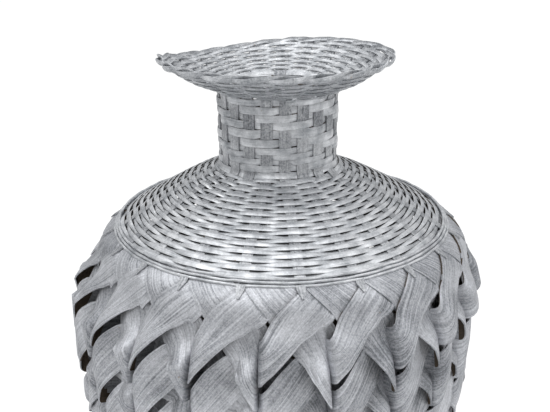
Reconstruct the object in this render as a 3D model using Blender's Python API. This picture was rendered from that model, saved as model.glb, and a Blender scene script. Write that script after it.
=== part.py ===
"""Silver bamboo vase: a wicker inner basket in a loose coat of broad plaited strips.

Twenty one stakes run from the rim to the base and carry three woven bands: a plain weave on the
dished rim, a two and two twill on the neck and a plain weave on the shoulder. Twenty one broad strips
are plaited over the belly. Each comes down leaning right, folds at the foot and goes up leaning left.
The coat stands out in a pleat between each two stakes, and the pleats die away toward the foot.
"""

import math

import bmesh
import bpy
import numpy as np

# Units
MM = 0.001
FULL_TURN = 2.0 * math.pi

# Counts
STAKES = 21
PLAIT_TIERS = 10
SHOULDER_ROWS = 12
NECK_ROWS = 8
RIM_ROWS = 6
INNER_ROWS = 3
TWILL_FLOAT = 2
RIM_WAVES = 3
HOOP_STEPS = 42
BORDER_SIDES = 5
OUTLINE_STEPS = 24

# Clearances
SEAT_GAP = 0.3 * MM
ROW_GAP = 0.35 * MM
WEAVE_EASE = 0.1 * MM
CORNER_CLEARANCE = 6.0 * MM
HOOP_CLEARANCE = 0.5 * MM
BASE_CLEARANCE = 1.2 * MM
SHOULDER_CLEARANCE = 4.8 * MM
BELLY_CLEARANCE = 13.6 * MM
FOOT_CLEARANCE = 10.5 * MM

# Reach over which the direction of an outline is read
NORMAL_REACH = 0.5 * MM

# Heights
BODY_HEIGHT = 196.8 * MM
SHOULDER_HEIGHT = 38.0 * MM
NECK_HEIGHT = 57.0 * MM
RIM_HEIGHT = 15.5 * MM

# Radii of the plaited coat, measured to its middle surface
PLAIT_TOP_RADIUS = 122.8 * MM
PLAIT_BELLY_RADIUS = 139.6 * MM
PLAIT_FOOT_RADIUS = 112.0 * MM

# Radii of the inner basket, measured to the middle of a stake, which follows the coat from inside
RIM_RADIUS = 75.0 * MM
NECK_RADIUS = 42.0 * MM
SHOULDER_RADIUS = PLAIT_TOP_RADIUS - SHOULDER_CLEARANCE
BASKET_BELLY_RADIUS = PLAIT_BELLY_RADIUS - BELLY_CLEARANCE
BASKET_FOOT_RADIUS = PLAIT_FOOT_RADIUS - FOOT_CLEARANCE

# Strips
STAKE_WIDTH = 7.2 * MM
STAKE_THICK = 1.0 * MM
WEAVER_THICK = 0.9 * MM
STRIP_WIDTH = 25.0 * MM
STRIP_FOOT_WIDTH = 18.0 * MM
STRIP_THICK = 1.1 * MM
INNER_WEAVER_WIDTH = 6.5 * MM

# Steps of the broad strips out of the coat's middle surface
PLAIT_SWELL = 3.4 * MM
PLAIT_TOP_SWELL = 2.7 * MM
PLAIT_FOOT_SWELL = 1.7 * MM
PLEAT_DEPTH = 7.5 * MM

# Rim border
BORDER_TUBE_RADIUS = 2.6 * MM
BORDER_SCALLOP = 0.8 * MM
RIM_TILT = 2.3 * MM
RIM_WAVE = 1.4 * MM
RIM_MARGIN = 6.5 * MM

# Shoulder border
SHOULDER_MARGIN = 1.5 * MM
HOOP_WIDTH = 7.0 * MM
HOOP_THICK = 1.2 * MM

# Foot
FOOT_RING_HEIGHT = 5.0 * MM
FOOT_RING_WIDTH = 18.0 * MM
FOOT_RING_LEDGE = 4.0 * MM
FOOT_RING_OUTER_RADIUS = PLAIT_FOOT_RADIUS + FOOT_RING_LEDGE
BASE_THICK = 3.0 * MM

# Angles
STAKE_PHASE = math.radians(6.5)
RIM_WAVE_PHASE = math.radians(35.0)

# Outline of the inner basket, as shares of the radii and heights on both sides of each point
RIM_SHARES = ((1.0, 1.0), (0.77, 0.66), (0.5, 0.34), (0.22, 0.12))
NECK_SHARES = (0.98, 0.74, 0.26, 0.02)
SHOULDER_SHARES = ((0.114, 0.874), (0.318, 0.692), (0.559, 0.458), (0.801, 0.218), (0.946, 0.063))
BASKET_SHARES = ((0.0, 0.0), (0.375, 0.05), (0.75, 0.14), (1.0, 0.27), (1.0, 0.44))
BASKET_FOOT_SHARES = ((0.714, 0.69), (0.306, 0.88))

# Places where a stake bends, as shares of its run over each stretch of the wall
STAKE_RIM_SHARES = (0.0, 0.5, 0.92)
STAKE_NECK_SHARES = (0.03, 0.96)
STAKE_SHOULDER_SHARES = (0.03, 0.14, 0.55, 0.97)
STAKE_BODY_SHARES = (0.05, 0.16, 0.42, 0.7, 1.0)

# Outline of the coat from the shoulder down, as shares of the step in radius and of the body height
PLAIT_UPPER_SHARES = ((0.0, 0.0), (0.265, 0.037), (0.428, 0.073), (0.561, 0.103), (0.795, 0.179),
                      (0.958, 0.235), (1.0, 0.276), (1.0, 0.342))
PLAIT_LOWER_SHARES = ((0.927, 0.469), (0.76, 0.6), (0.5, 0.76), (0.22, 0.9), (0.0, 1.0))

# Ends of the inner weaver, as shares of the stake's run below the shoulder
INNER_BASE_SHARE = 0.93
INNER_TOP_SHARE = 0.12

# Reach of a neck float past its outer stakes, as a share of the stake spacing
TWILL_EDGE_SHARE = 0.33

# Plait rhythm, as shares of one tier
PLATEAU_SHARE = 0.42
TOP_TIER_SHARE = 0.25
TOP_STRETCH_SHARE = 0.5
SWELL_EASE_SHARE = 0.5
TAPER_TIERS = 3.0
FIRST_LINE_TIER = -0.5
UPRIGHT_TIERS = 8
FOOT_SHARES = ((0.6, 0.0), (0.85, 0.8))

# Fold lines of a pleat, each as a share of the stake spacing and a share of the full depth, with a
# deep slit in every pleat
CREST_SHARE = 0.25
SLIT_SHARE = 0.345
PLEAT_SHARES = ((0.0, 0.0), (CREST_SHARE, 0.9), (SLIT_SHARE, 0.05), (0.5, 1.0))
PLEAT_FLANK_SHARE = 0.001
PLEATED_PAIRS = 3

# Parts of the coat's length at which the pleats begin, are full, start to ease out and are gone
PLEAT_EASE_SHARES = (0.0, 0.26, 0.28, 0.62)

# Part of the shoulder border that reaches past the ends of the strips
HOOP_LAP_SHARE = 0.12

# Derived heights
FOLD_HEIGHT = FOOT_RING_HEIGHT + SEAT_GAP
SHOULDER_EDGE_HEIGHT = FOLD_HEIGHT + BODY_HEIGHT
NECK_BASE_HEIGHT = SHOULDER_EDGE_HEIGHT + SHOULDER_HEIGHT
NECK_TOP_HEIGHT = NECK_BASE_HEIGHT + NECK_HEIGHT
BASE_TOP_HEIGHT = FOLD_HEIGHT + BASE_THICK
STAKE_FOOT_HEIGHT = BASE_TOP_HEIGHT + SEAT_GAP


def mix(start, end, share):
    """Value at a share of the way from start to end."""
    return start + (end - start) * share


# Curves

class Outline:
    """Line of radius and height, smooth or straight between its points, read by its run from the top."""

    def __init__(self, points, steps=OUTLINE_STEPS):
        knots = np.array(points)
        self.line = knots
        if steps:
            padded = np.vstack([knots[0] * 2 - knots[1], knots, knots[-1] * 2 - knots[-2]])
            shares = np.linspace(0.0, 1.0, steps, endpoint=False)[:, None]
            pieces = [self.blend(padded[i:i + 4], shares) for i in range(len(knots) - 1)]
            self.line = np.vstack(pieces + [knots[-1:]])
        runs = np.linalg.norm(np.diff(self.line, axis=0), axis=1)
        self.lengths = np.concatenate([[0.0], np.cumsum(runs)])
        self.length = float(self.lengths[-1])

    @staticmethod
    def blend(four, t):
        """Catmull-Rom stretch between the two middle points of four."""
        a, b, c, d = four
        slope = (c - a) / 2
        bend = a - b * 2.5 + c * 2 - d / 2
        twist = (d - a) / 2 + (b - c) * 1.5
        return b + slope * t + bend * t ** 2 + twist * t ** 3

    def at(self, run):
        """Radius and height at a run along the line."""
        run = min(max(run, 0.0), self.length)
        radius = np.interp(run, self.lengths, self.line[:, 0])
        height = np.interp(run, self.lengths, self.line[:, 1])
        return np.array([radius, height])

    def tangent(self, run):
        """Unit direction down the line."""
        low = self.at(min(run + NORMAL_REACH, self.length))
        high = self.at(max(run - NORMAL_REACH, 0.0))
        return (low - high) / np.linalg.norm(low - high)

    def normal(self, run):
        """Unit direction out of the wall."""
        down = self.tangent(run)
        return np.array([-down[1], down[0]])

    def run_at_height(self, height):
        """Run at which the line drops to a height."""
        return float(np.interp(-height, -self.line[:, 1], self.lengths))


def basket_outline():
    """Rim, neck, shoulder and inner wall in one line."""
    points = []
    for out, up in RIM_SHARES:
        points.append((mix(NECK_RADIUS, RIM_RADIUS, out),
                       mix(NECK_TOP_HEIGHT, NECK_TOP_HEIGHT + RIM_HEIGHT, up)))
    for up in NECK_SHARES:
        points.append((NECK_RADIUS, mix(NECK_BASE_HEIGHT, NECK_TOP_HEIGHT, up)))
    for out, up in SHOULDER_SHARES:
        points.append((mix(NECK_RADIUS, SHOULDER_RADIUS, out),
                       mix(SHOULDER_EDGE_HEIGHT, NECK_BASE_HEIGHT, up)))
    for out, down in BASKET_SHARES:
        points.append((mix(SHOULDER_RADIUS, BASKET_BELLY_RADIUS, out),
                       mix(SHOULDER_EDGE_HEIGHT, STAKE_FOOT_HEIGHT, down)))
    for out, down in BASKET_FOOT_SHARES:
        points.append((mix(BASKET_FOOT_RADIUS, BASKET_BELLY_RADIUS, out),
                       mix(SHOULDER_EDGE_HEIGHT, STAKE_FOOT_HEIGHT, down)))
    points.append((BASKET_FOOT_RADIUS, STAKE_FOOT_HEIGHT))
    return Outline(points)


def coat_outline():
    """Middle surface of the plaited coat, from under the shoulder border to the fold at the foot."""
    points = []
    for out, down in PLAIT_UPPER_SHARES:
        points.append((mix(PLAIT_TOP_RADIUS, PLAIT_BELLY_RADIUS, out),
                       mix(SHOULDER_EDGE_HEIGHT, FOLD_HEIGHT, down)))
    for out, down in PLAIT_LOWER_SHARES:
        points.append((mix(PLAIT_FOOT_RADIUS, PLAIT_BELLY_RADIUS, out),
                       mix(SHOULDER_EDGE_HEIGHT, FOLD_HEIGHT, down)))
    return Outline(points)


SMOOTH_BASKET = basket_outline()
COAT = coat_outline()


def stake_points():
    """Points at which a stake bends, closer where the wall does."""
    neck_top = SMOOTH_BASKET.run_at_height(NECK_TOP_HEIGHT)
    neck_base = SMOOTH_BASKET.run_at_height(NECK_BASE_HEIGHT)
    edge = SMOOTH_BASKET.run_at_height(SHOULDER_EDGE_HEIGHT)
    runs = [neck_top * share for share in STAKE_RIM_SHARES]
    runs += [mix(neck_top, neck_base, share) for share in STAKE_NECK_SHARES]
    runs += [mix(neck_base, edge, share) for share in STAKE_SHOULDER_SHARES]
    runs += [mix(edge, SMOOTH_BASKET.length, share) for share in STAKE_BODY_SHARES]
    return [SMOOTH_BASKET.at(run) for run in runs]


BASKET = Outline(stake_points(), 0)
NECK_TOP_RUN = BASKET.run_at_height(NECK_TOP_HEIGHT)
NECK_BASE_RUN = BASKET.run_at_height(NECK_BASE_HEIGHT)
SHOULDER_EDGE_RUN = BASKET.run_at_height(SHOULDER_EDGE_HEIGHT)


def rim_lift(radius, angle):
    """Tilt and wave of the rim, growing from nothing at the neck."""
    share = max(0.0, (radius - NECK_RADIUS) / (RIM_RADIUS - NECK_RADIUS))
    tilt = RIM_TILT * math.sin(angle)
    wave = RIM_WAVE * math.sin(RIM_WAVES * angle + RIM_WAVE_PHASE)
    return share * (tilt + wave)


def place(radius, angle, height):
    """Point in space from radius, angle and height."""
    return (radius * math.sin(angle), -radius * math.cos(angle), height)


def wall_point(run, angle, out, above_neck=False):
    """Point of the inner basket at a run, an angle and an offset out of the wall."""
    radius, height = BASKET.at(run) + BASKET.normal(run) * out
    if above_neck:
        height += rim_lift(radius, angle)
    return place(radius, angle, height)


# Materials

def silver(name, shade, roughness):
    """Silver painted bamboo."""
    material = bpy.data.materials.new(name)
    material.use_nodes = True
    shader = material.node_tree.nodes["Principled BSDF"]
    shader.inputs["Base Color"].default_value = (shade, shade, shade * 1.03, 1.0)
    shader.inputs["Roughness"].default_value = roughness
    shader.inputs["Metallic"].default_value = 0.7
    return material


# Meshes

def add_object(name, points, faces, material, smooth=False, split=False):
    """Object from points and faces turned outward, split into triangles where its faces are bent."""
    mesh = bpy.data.meshes.new(name)
    shape = bmesh.new()
    corners = [shape.verts.new(point) for point in points]
    for face in faces:
        shape.faces.new([corners[index] for index in face])
    bmesh.ops.recalc_face_normals(shape, faces=shape.faces[:])
    if split:
        bmesh.ops.triangulate(shape, faces=shape.faces[:])
    shape.to_mesh(mesh)
    shape.free()
    if smooth:
        mesh.shade_smooth()
    mesh.materials.append(material)
    item = bpy.data.objects.new(name, mesh)
    bpy.context.scene.collection.objects.link(item)
    return item


def add_sweep(name, sections, material, closed=False, smooth=False, split=False):
    """Solid through a row of like sections, closed into a ring or capped at both ends."""
    sides = len(sections[0])
    points = [point for section in sections for point in section]
    faces = []
    count = len(sections) if closed else len(sections) - 1
    for step in range(count):
        here = step * sides
        there = ((step + 1) % len(sections)) * sides
        for side in range(sides):
            turn = (side + 1) % sides
            faces.append((here + side, here + turn, there + turn, there + side))
    if not closed:
        faces.append(tuple(range(sides)))
        faces.append(tuple(len(points) - sides + side for side in range(sides)))
    return add_object(name, points, faces, material, smooth, split)


# Stakes

def stake_section(run, angle):
    """Four corners of a stake across the wall."""
    half = STAKE_WIDTH / 2
    corners = []
    for across, out in ((-half, STAKE_THICK / 2), (half, STAKE_THICK / 2),
                        (half, -STAKE_THICK / 2), (-half, -STAKE_THICK / 2)):
        radius, height = BASKET.at(run) + BASKET.normal(run) * out
        height += rim_lift(radius, angle) if run < NECK_TOP_RUN else 0.0
        x = radius * math.sin(angle) + across * math.cos(angle)
        y = -radius * math.cos(angle) + across * math.sin(angle)
        corners.append((x, y, height))
    return corners


def stake_angle(index):
    """Angle of a stake, which may be a part number for a place between two."""
    return STAKE_PHASE + FULL_TURN * index / STAKES


def add_stakes(material):
    """All stakes, each a flat strip down the whole wall."""
    runs = BASKET.lengths
    for index in range(STAKES):
        angle = stake_angle(index)
        sections = [stake_section(run, angle) for run in runs]
        add_sweep(f"stake_{index + 1:02d}", sections, material)


# Weavers

def stake_lift():
    """Offset that carries a weaver past a stake."""
    return (STAKE_THICK + WEAVER_THICK) / 2 + SEAT_GAP + WEAVE_EASE


def crowned_section(run, angle, out, width, above_neck):
    """Three corners of a half round weaver: two flat edges inside and a crown outside."""
    inside = out - WEAVER_THICK / 2
    crown = out + WEAVER_THICK / 2
    return [wall_point(run - width / 2, angle, inside, above_neck),
            wall_point(run, angle, crown, above_neck),
            wall_point(run + width / 2, angle, inside, above_neck)]


def plain_lift(run, side):
    """Offset of a plain weaver at a stake, so that its straight runs also clear the stake's edges."""
    turn = FULL_TURN / STAKES
    spacing = BASKET.at(run)[0] * math.sin(turn)
    curve = STAKE_WIDTH / 2 * math.tan(turn / 2) if side > 0 else 0.0
    return side * (stake_lift() + curve) / (1 - STAKE_WIDTH / spacing)


def row_width(start, end, rows):
    """Width that fills a row but for the gap to the next."""
    return abs(end - start) / rows - ROW_GAP


def add_plain_weaver(name, start, end, rows, material, above_neck=False, width=None):
    """One weaver that climbs from start to end, over and under each stake in turn."""
    sections = []
    width = width or row_width(start, end, rows)
    for step in range(rows * STAKES + 1):
        run = mix(start, end, step / (rows * STAKES))
        side = 1 if step % 2 == 0 else -1
        sections.append(crowned_section(run, stake_angle(step), plain_lift(run, side), width, above_neck))
    return add_sweep(name, sections, material)


def add_twill_weaver(name, start, end, rows, material):
    """One weaver that climbs the neck over two stakes and under two."""
    sections = []
    steps = rows * STAKES
    width = row_width(start, end, rows)
    for first in range(0, steps, TWILL_FLOAT):
        side = 1 if (first // TWILL_FLOAT) % 2 == 0 else -1
        for place_share in (-TWILL_EDGE_SHARE, TWILL_FLOAT - 1 + TWILL_EDGE_SHARE):
            step = first + place_share
            run = mix(start, end, step / steps)
            lift = twill_lift() if side > 0 else -stake_lift()
            sections.append(crowned_section(run, stake_angle(step), lift, width, False))
    return add_sweep(name, sections, material)


def twill_lift():
    """Offset of the neck weaver, with room for its straight run across two stakes."""
    spacing = FULL_TURN / STAKES
    span = spacing * (TWILL_FLOAT - 1 + TWILL_EDGE_SHARE * 2)
    sag = NECK_RADIUS * (1 - math.cos(span / 2))
    return stake_lift() + sag


def add_weavers(material):
    """Rim, neck, shoulder and inner weavers, each one unbroken strip."""
    rim_base = NECK_TOP_RUN - CORNER_CLEARANCE
    rim_top = RIM_MARGIN
    add_plain_weaver("rim_weaver", rim_base, rim_top, RIM_ROWS, material, True)
    neck_base = NECK_BASE_RUN - CORNER_CLEARANCE
    neck_top = NECK_TOP_RUN + CORNER_CLEARANCE
    add_twill_weaver("neck_weaver", neck_base, neck_top, NECK_ROWS, material)
    shoulder_base = SHOULDER_EDGE_RUN - HOOP_WIDTH - SHOULDER_MARGIN
    shoulder_top = NECK_BASE_RUN + CORNER_CLEARANCE
    add_plain_weaver("shoulder_weaver", shoulder_base, shoulder_top, SHOULDER_ROWS, material)
    body_run = BASKET.length - SHOULDER_EDGE_RUN
    inner_base = SHOULDER_EDGE_RUN + body_run * INNER_BASE_SHARE
    inner_top = SHOULDER_EDGE_RUN + body_run * INNER_TOP_SHARE
    add_plain_weaver("inner_weaver", inner_base, inner_top, INNER_ROWS, material, width=INNER_WEAVER_WIDTH)


# Plaited coat

TIER_RUN = COAT.length / (PLAIT_TIERS - TOP_TIER_SHARE)


def coat_run(tier):
    """Run down the coat at a tier, counted from the crossing hidden under the shoulder border."""
    return (tier - TOP_TIER_SHARE) * TIER_RUN


def swell(run):
    """Half the distance between the over and the under strip at a run."""
    top = min(1.0, run / (TIER_RUN * SWELL_EASE_SHARE))
    foot = min(1.0, (COAT.length - run) / (TIER_RUN * SWELL_EASE_SHARE))
    at_top = mix(PLAIT_TOP_SWELL, PLAIT_SWELL, max(top, 0.0))
    at_foot = mix(PLAIT_FOOT_SWELL, PLAIT_SWELL, max(foot, 0.0))
    return min(at_top, at_foot)


def over_or_under(tier, leaning_right):
    """Level of a strip between 1 over and -1 under, flat on each crossing."""
    nearest = round(tier)
    level = 1.0 if nearest % 2 == 0 else -1.0
    away = abs(tier - nearest)
    if away > PLATEAU_SHARE:
        level *= 1.0 - (away - PLATEAU_SHARE) / (0.5 - PLATEAU_SHARE)
    return level if leaning_right else -level


def strip_slope():
    """Sine and cosine of the strips' climb at the belly."""
    half_spacing = math.pi * PLAIT_BELLY_RADIUS / STAKES
    length = math.hypot(half_spacing, TIER_RUN)
    return TIER_RUN / length, half_spacing / length


def half_width(tier):
    """Half the width of a strip, which narrows over its last tiers to fold between its neighbours."""
    share = (tier - PLAIT_TIERS + TAPER_TIERS) / TAPER_TIERS
    return mix(STRIP_WIDTH, STRIP_FOOT_WIDTH, min(max(share, 0.0), 1.0)) / 2


def half_spread(tier):
    """Half the strip's width as a part of the stake spacing, and as a part of a tier."""
    sine, cosine = strip_slope()
    run = min(max(coat_run(tier), 0.0), COAT.length)
    spacing = FULL_TURN / STAKES * COAT.at(run)[0]
    return half_width(tier) * sine / spacing, half_width(tier) * cosine / TIER_RUN


# Pleats of the coat

def pleat_ease(run):
    """Share of the pleats' full depth at a run, none under the border and none at the foot."""
    share = run / COAT.length
    first, full, last, gone = PLEAT_EASE_SHARES
    return min(max(min((share - first) / (full - first), (gone - share) / (gone - last)), 0.0), 1.0)


def pleat_lift(place_share, run):
    """Lift of the coat out of its middle surface at a part of the stake spacing."""
    places = [share for share, _ in PLEAT_SHARES] + [1.0 + PLEAT_SHARES[0][0]]
    lifts = [share for _, share in PLEAT_SHARES] + [PLEAT_SHARES[0][1]]
    return PLEAT_DEPTH * pleat_ease(run) * float(np.interp(place_share % 1.0, places, lifts))


def pleat_miter(place_share, run):
    """Sideways and outward step that thickens both flanks of a fold line alike, for a step of one."""
    spacing = FULL_TURN / STAKES * COAT.at(run)[0]
    here = pleat_lift(place_share, run)
    before = pleat_lift(place_share - PLEAT_FLANK_SHARE, run)
    after = pleat_lift(place_share + PLEAT_FLANK_SHARE, run)
    left = math.atan2(here - before, PLEAT_FLANK_SHARE * spacing)
    right = math.atan2(after - here, PLEAT_FLANK_SHARE * spacing)
    share = 1.0 + math.cos(left - right)
    return -(math.sin(left) + math.sin(right)) / share, (math.cos(left) + math.cos(right)) / share


def strip_point(fold_place, stake_place, tier, leaning_right, layer, level=None):
    """Point of a strip at a place round the coat and a tier down it, layer 1 on its outer face."""
    lean = 1 if leaning_right else -1
    middle_tier = PLAIT_TIERS - 2 * lean * (fold_place - stake_place)
    if level is None:
        level = over_or_under((middle_tier + tier) / 2, leaning_right)
    run = min(max(coat_run(tier), 0.0), COAT.length)
    sideways, outward = pleat_miter(stake_place, run)
    step = swell(run) * level + layer * STRIP_THICK / 2
    radius, height = COAT.at(run) + COAT.normal(run) * (pleat_lift(stake_place, run) + step * outward)
    return place(radius, stake_angle(stake_place) + step * sideways / radius, height)


def strip_section(fold_place, corners, leaning_right, level=None):
    """Outer and inner face through the low edge, the middle and the high edge, alike on both legs."""
    face = 1 if leaning_right else -1
    outer = [strip_point(fold_place, spot, tier, leaning_right, face, level) for spot, tier in corners]
    inner = [strip_point(fold_place, spot, tier, leaning_right, -face, level) for spot, tier in corners]
    return outer + inner[::-1]


def upright_corners(fold_place, low_line, high_line, leaning_right):
    """Low edge, middle and high edge on the upright lines that the strip's middle crosses at two tiers."""
    lean = 1 if leaning_right else -1
    corners = []
    for edge, line in ((-1, low_line), (0, (low_line + high_line) / 2), (1, high_line)):
        across, down = half_spread(line)
        tier = line - edge * (2 * across + down)
        corners.append([fold_place - lean * (PLAIT_TIERS - line) / 2, max(tier, TOP_TIER_SHARE)])
    if corners[1][1] <= TOP_STRETCH_SHARE:
        corners[1][1] = (corners[0][1] + corners[2][1]) / 2
    return corners


def square_corners(fold_place, low_tier, high_tier, leaning_right):
    """Low edge, middle and high edge of a strip square across it."""
    lean = 1 if leaning_right else -1
    corners = []
    for edge, tier in ((-1, low_tier), (0, (low_tier + high_tier) / 2), (1, high_tier)):
        across, down = half_spread(tier)
        spot = fold_place - lean * (PLAIT_TIERS - tier) / 2 + lean * edge * across
        corners.append((spot, tier - edge * down))
    return corners


def line_tiers(leaning_right):
    """Tiers of the upright lines under the low and the high edge, from the top down.

    Each crossing has two sections, so that either edge changes level in the gap between two strips.
    """
    pairs = [(FIRST_LINE_TIER, FIRST_LINE_TIER)]
    for tier in range(UPRIGHT_TIERS + 1):
        across, down = half_spread(tier if tier >= PLAIT_TIERS - TAPER_TIERS else 1.0)
        gap = 1.0 - 2 * across - down
        pairs.append((tier, tier - gap))
        pairs.append((tier + gap, tier))
    for share in (CREST_SHARE, SLIT_SHARE):
        lean = 1 if leaning_right else -1
        first = 1 + 2 * lean * share
        pairs += [(first + 2 * pair, first + 2 * pair) for pair in range(PLEATED_PAIRS + (lean < 0))]
    return sorted(pairs)


def foot_tiers():
    """Tiers of the two edges where the strip runs square across, down to the fold."""
    last = PLAIT_TIERS - 1
    down = half_spread(PLAIT_TIERS)[1]
    pairs = [(last - PLATEAU_SHARE, last - 1 + PLATEAU_SHARE), (last, last - PLATEAU_SHARE)]
    pairs.append((last + PLATEAU_SHARE, last + PLATEAU_SHARE))
    for low_share, high_share in FOOT_SHARES:
        low = mix(last + PLATEAU_SHARE, PLAIT_TIERS - down, low_share)
        high = mix(PLAIT_TIERS - PLATEAU_SHARE, PLAIT_TIERS + down, high_share)
        pairs.append((low, high))
    return pairs


def fold_section(fold_place):
    """Corners at the bottom of the fold, where the strip's thickness stands upright."""
    across, down = half_spread(PLAIT_TIERS)
    reach = across + down / 2
    radius = PLAIT_FOOT_RADIUS
    angles = [stake_angle(fold_place + share * reach) for share in (-1, 0, 1)]
    low = [place(radius, angle, FOLD_HEIGHT) for angle in angles]
    high = [place(radius, angle, FOLD_HEIGHT + STRIP_THICK) for angle in angles]
    return low + high[::-1]


def leg_sections(fold_place, leaning_right):
    """Sections of one leg from the top cut down to the fold."""
    sections = []
    for low, high in line_tiers(leaning_right):
        corners = upright_corners(fold_place, low, high, leaning_right)
        sections.append(strip_section(fold_place, corners, leaning_right))
    held = 1.0 if leaning_right else -1.0
    for index, (low, high) in enumerate(foot_tiers()):
        corners = square_corners(fold_place, low, high, leaning_right)
        level = held if index >= len(foot_tiers()) - len(FOOT_SHARES) else None
        sections.append(strip_section(fold_place, corners, leaning_right, level))
    return sections


def add_strip(index, material):
    """One broad strip: down leaning right, folded at the foot and up leaning left."""
    fold_place = index + 0.5
    down = leg_sections(fold_place, True)
    up = leg_sections(fold_place, False)
    half = len(up[0]) // 2
    up = [section[:half][::-1] + section[half:][::-1] for section in reversed(up)]
    sections = down + [fold_section(fold_place)] + up
    return add_sweep(f"broad_strip_{index + 1:02d}", sections, material, split=True)


def add_coat(material):
    """All broad strips of the plait."""
    for index in range(STAKES):
        add_strip(index, material)


# Rim border, shoulder border and foot

def add_rim_border(material):
    """Rolled border with a scallop over each stake."""
    sections = []
    middle_radius = RIM_RADIUS + SEAT_GAP + BORDER_TUBE_RADIUS
    middle_height = NECK_TOP_HEIGHT + RIM_HEIGHT + BORDER_TUBE_RADIUS / 2
    for step in range(HOOP_STEPS):
        angle = STAKE_PHASE + FULL_TURN * step / HOOP_STEPS
        scallop = BORDER_SCALLOP * math.cos(FULL_TURN * step * STAKES / HOOP_STEPS)
        section = []
        for side in range(BORDER_SIDES):
            turn = FULL_TURN * side / BORDER_SIDES
            radius = middle_radius + BORDER_TUBE_RADIUS * math.cos(turn)
            height = middle_height + BORDER_TUBE_RADIUS * math.sin(turn)
            height += scallop + rim_lift(RIM_RADIUS, angle)
            section.append(place(radius, angle, height))
        sections.append(section)
    return add_sweep("rim_border", sections, material, True, True)


def add_shoulder_border(material):
    """Flat band that covers the top ends of the broad strips."""
    under = COAT.at(0.0) + COAT.normal(0.0) * (PLAIT_TOP_SWELL + STRIP_THICK / 2 + HOOP_CLEARANCE)
    lie = BASKET.tangent(SHOULDER_EDGE_RUN - HOOP_WIDTH)
    out = BASKET.normal(SHOULDER_EDGE_RUN - HOOP_WIDTH)
    low = under + lie * HOOP_WIDTH * HOOP_LAP_SHARE
    high = low - lie * HOOP_WIDTH
    sections = []
    for step in range(HOOP_STEPS):
        angle = STAKE_PHASE + FULL_TURN * step / HOOP_STEPS
        corners = (high, low, low + out * HOOP_THICK, high + out * HOOP_THICK)
        sections.append([place(radius, angle, height) for radius, height in corners])
    return add_sweep("shoulder_border", sections, material, True)


def add_ring(name, inner, outer, low, high, material):
    """Flat ring with a square section."""
    sections = []
    for step in range(HOOP_STEPS):
        angle = FULL_TURN * step / HOOP_STEPS
        corners = ((inner, low), (outer, low), (outer, high), (inner, high))
        sections.append([place(radius, angle, height) for radius, height in corners])
    return add_sweep(name, sections, material, True)


def add_base(material):
    """Round base panel that closes the basket, resting on the foot ring."""
    radius = PLAIT_FOOT_RADIUS - PLAIT_FOOT_SWELL - STRIP_THICK / 2 - BASE_CLEARANCE
    points = []
    for height in (FOLD_HEIGHT, BASE_TOP_HEIGHT):
        points += [place(radius, FULL_TURN * step / HOOP_STEPS, height) for step in range(HOOP_STEPS)]
    sections = [points[:HOOP_STEPS], points[HOOP_STEPS:]]
    return add_sweep("base_panel", sections, material)


def clear_scene():
    """Remove what the file opened with."""
    for item in list(bpy.data.objects):
        bpy.data.objects.remove(item, do_unlink=True)


def build():
    """Whole vase."""
    clear_scene()
    stake_silver = silver("silver_stake", 0.5, 0.5)
    weaver_silver = silver("silver_weaver", 0.58, 0.38)
    strip_silver = silver("silver_strip", 0.55, 0.42)
    add_stakes(stake_silver)
    add_weavers(weaver_silver)
    add_coat(strip_silver)
    add_rim_border(weaver_silver)
    add_shoulder_border(weaver_silver)
    ring_inner = FOOT_RING_OUTER_RADIUS - FOOT_RING_WIDTH
    add_ring("foot_ring", ring_inner, FOOT_RING_OUTER_RADIUS, 0.0, FOOT_RING_HEIGHT, stake_silver)
    add_base(stake_silver)


build()
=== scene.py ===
"""Looks of the silver painted bamboo vase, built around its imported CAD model.

Every strip is modelled at about the photograph's own weave: a dozen rows on the rim, a dozen in twill on
the neck, twenty seven on the shoulder and the pleated plait of broad strips on the belly. Heights, radii
and widths are in millimetres unless a comment says otherwise, and Blender's points are in metres.
"""

import logging
import math
from dataclasses import dataclass, replace
from enum import Enum
from functools import partial
from typing import Callable, Sequence

import bpy
import numpy as np
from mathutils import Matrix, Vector


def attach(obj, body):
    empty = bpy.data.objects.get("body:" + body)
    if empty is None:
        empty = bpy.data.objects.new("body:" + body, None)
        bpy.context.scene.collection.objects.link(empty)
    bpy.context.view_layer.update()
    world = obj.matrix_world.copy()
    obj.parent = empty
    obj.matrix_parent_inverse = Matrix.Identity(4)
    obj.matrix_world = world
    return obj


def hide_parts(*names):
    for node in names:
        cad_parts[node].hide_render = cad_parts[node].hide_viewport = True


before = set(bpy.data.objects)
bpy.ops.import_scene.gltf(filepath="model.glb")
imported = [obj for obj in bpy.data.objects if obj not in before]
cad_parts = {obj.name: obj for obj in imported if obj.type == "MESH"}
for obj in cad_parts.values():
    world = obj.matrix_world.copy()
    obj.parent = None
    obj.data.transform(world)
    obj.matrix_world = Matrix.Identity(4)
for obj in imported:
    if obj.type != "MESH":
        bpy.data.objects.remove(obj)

Array = np.ndarray
Pair = tuple[float, float]
Rows = tuple[Pair, ...]
Edges = tuple[tuple[float, float, float], ...]
Outline = Callable[[Array, Array], tuple[Array, Array]]
Material = bpy.types.Material
Object = bpy.types.Object
Socket = bpy.types.NodeSocket
Tree = bpy.types.NodeTree

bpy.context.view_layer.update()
MM = 0.001
FULL_TURN = 2.0 * math.pi

# The stakes stand evenly around the vase, the first a little to the viewer's right of the front
STAKES = 21
STAKE_PHASE = math.radians(6.5)
TURN = FULL_TURN / STAKES

# Height of the shoulder's border in millimetres, from which the body's tables are measured
BORDER_HEIGHT = 200.8

# A face is bare, and takes the near black of painted shade, when it lies below this height, looks inward
# this much and looks up less than this
BARE_SHADE_TOP = 294.0
BARE_SHADE_TURN = -0.15
BARE_SHADE_RISE = 0.6

# The UV layer that holds each strip's own lengths, millimetres between the grain of two strips, and
# millimetres of grain to a radian round a ring's section
GRAIN = "grain"
GRAIN_ALONG = 37.0
GRAIN_ACROSS = 9.0
GRAIN_ROUND = 3.0

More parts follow.
